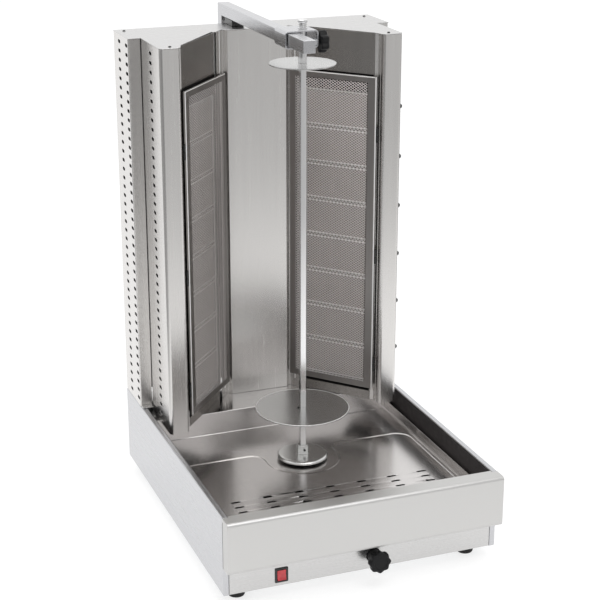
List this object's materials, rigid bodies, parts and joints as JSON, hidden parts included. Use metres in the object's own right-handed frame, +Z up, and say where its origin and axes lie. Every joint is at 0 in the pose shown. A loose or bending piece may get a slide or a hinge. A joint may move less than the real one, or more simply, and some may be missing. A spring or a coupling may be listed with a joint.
{
  "type": "rotisserie oven",
  "caption": "Upright rotisserie oven with a turning vertical spit between two banks of radiant burners behind mesh guards, over a sunken drip tray with a pull-out juice drawer.",
  "frame": {"origin": "middle of the footprint at the underside of the feet", "axes": "+Z up, the knob, switch and drawer face -Y, the burner tower stands at +Y"},
  "size_m": [0.58, 0.774, 1.062],
  "materials": {
    "brushed_steel": "fine vertical brushing, satin",
    "tray_steel": "satin sheet that mirrors softly",
    "heat_tinted_steel": "satin, slightly darkened by heat",
    "guard_steel": "perforated satin sheet with bright cut edges",
    "turned_steel": "fine circular brushing",
    "polished_steel": "polished round and square bar",
    "zinc_plate": "dull zinc plate",
    "ceramic": "unglazed porous ceramic plate",
    "rubber": "matt moulded rubber",
    "knob_plastic": "moulded thermoset, slightly glossy",
    "switch_plastic": "glossy moulded nylon",
    "red_rocker": "translucent red lens",
    "brass": "drawn pipe and machined taps"
  },
  "bodies": {
    "frame": {"left_base_side": "brushed_steel", "right_base_side": "brushed_steel", "control_panel": "brushed_steel", "bottom_pan": "zinc_plate", "base_back_panel": "brushed_steel", "foot_front_left": "rubber", "foot_front_right": "rubber", "foot_rear_left": "rubber", "foot_rear_right": "rubber", "drip_tray": "tray_steel", "rear_deck": "brushed_steel", "slide_frame": "zinc_plate", "switch_housing": "switch_plastic", "cable_gland": "switch_plastic", "gas_manifold": "brass", "left_side_panel": "brushed_steel", "right_side_panel": "brushed_steel", "left_column_cover": "brushed_steel", "right_column_cover": "brushed_steel", "left_burner_frame": "heat_tinted_steel", "right_burner_frame": "heat_tinted_steel", "left_burner_casing": "zinc_plate", "right_burner_casing": "zinc_plate", "left_burner_tile_1": "ceramic", "right_burner_tile_1": "ceramic", "left_burner_tile_2": "ceramic", "right_burner_tile_2": "ceramic", "left_burner_tile_3": "ceramic", "right_burner_tile_3": "ceramic", "left_burner_tile_4": "ceramic", "right_burner_tile_4": "ceramic", "left_burner_tile_5": "ceramic", "right_burner_tile_5": "ceramic", "left_burner_tile_6": "ceramic", "right_burner_tile_6": "ceramic", "left_burner_tile_7": "ceramic", "right_burner_tile_7": "ceramic", "left_burner_tile_8": "ceramic", "right_burner_tile_8": "ceramic", "back_plate": "brushed_steel", "tower_back": "brushed_steel", "top_cover": "brushed_steel", "arm_tube": "brushed_steel"},
    "drawer": {"juice_drawer": "brushed_steel"},
    "adjuster": {"lead_screw": "zinc_plate", "front_knob": "knob_plastic"},
    "carriage": {"carriage": "zinc_plate", "gear_motor": "zinc_plate"},
    "spit": {"drive_hub": "polished_steel", "base_disc": "turned_steel", "lower_disc": "turned_steel", "spit_rod": "polished_steel"},
    "upper_disc": {"upper_disc": "turned_steel"},
    "top_slider": {"top_yoke": "turned_steel"},
    "clamp_knob": {"top_knob": "knob_plastic"},
    "rocker": {"switch_rocker": "red_rocker"},
    "left_gas_knob": {"left_gas_knob": "knob_plastic"},
    "right_gas_knob": {"right_gas_knob": "knob_plastic"},
    "left_guard": {"left_mesh_guard": "guard_steel"},
    "right_guard": {"right_mesh_guard": "guard_steel"}
  },
  "joints": [
    {"name": "drawer_slide", "type": "slide", "parent": "frame", "child": "drawer", "axis": [0, -1, 0], "range_m": [0, 0.16]},
    {"name": "front_knob_turn", "type": "hinge", "parent": "frame", "child": "adjuster", "pos_m": [0.022, -0.349, 0.057], "axis": [0, -1, 0], "range_deg": [0, 2880]},
    {"name": "carriage_slide", "type": "slide", "parent": "frame", "child": "carriage", "axis": [0, 1, 0], "range_m": [0, 0.04]},
    {"name": "spit_spin", "type": "hinge", "parent": "carriage", "child": "spit", "pos_m": [0, -0.015, 0.13], "axis": [0, 0, 1], "continuous": true},
    {"name": "upper_disc_slide", "type": "slide", "parent": "spit", "child": "upper_disc", "axis": [0, 0, -1], "range_m": [0, 0.55]},
    {"name": "top_slider_slide", "type": "slide", "parent": "frame", "child": "top_slider", "axis": [0, 1, 0], "range_m": [0, 0.04]},
    {"name": "clamp_knob_turn", "type": "hinge", "parent": "top_slider", "child": "clamp_knob", "pos_m": [0.03, -0.039, 1.021], "axis": [1, 0, 0], "range_deg": [0, 360]},
    {"name": "rocker_tilt", "type": "hinge", "parent": "frame", "child": "rocker", "pos_m": [-0.1715, -0.349, 0.0515], "axis": [1, 0, 0], "range_deg": [0, 14]},
    {"name": "left_gas_turn", "type": "hinge", "parent": "frame", "child": "left_gas_knob", "pos_m": [-0.075, 0.341, 0.11], "axis": [0, 1, 0], "range_deg": [0, 90]},
    {"name": "right_gas_turn", "type": "hinge", "parent": "frame", "child": "right_gas_knob", "pos_m": [0.075, 0.341, 0.11], "axis": [0, 1, 0], "range_deg": [0, 90]},
    {"name": "left_guard_hinge", "type": "hinge", "parent": "frame", "child": "left_guard", "pos_m": [-0.2105, 0.0984, 0.56], "axis": [0, 0, -1], "range_deg": [0, 30]},
    {"name": "right_guard_hinge", "type": "hinge", "parent": "frame", "child": "right_guard", "pos_m": [0.2105, 0.0984, 0.56], "axis": [0, 0, 1], "range_deg": [0, 30]}
  ],
  "couplings": [
    {"joint": "front_knob_turn", "follows": "carriage_slide", "rad_per_m": 1256.6},
    {"joint": "top_slider_slide", "follows": "carriage_slide", "ratio": 1}
  ]
}
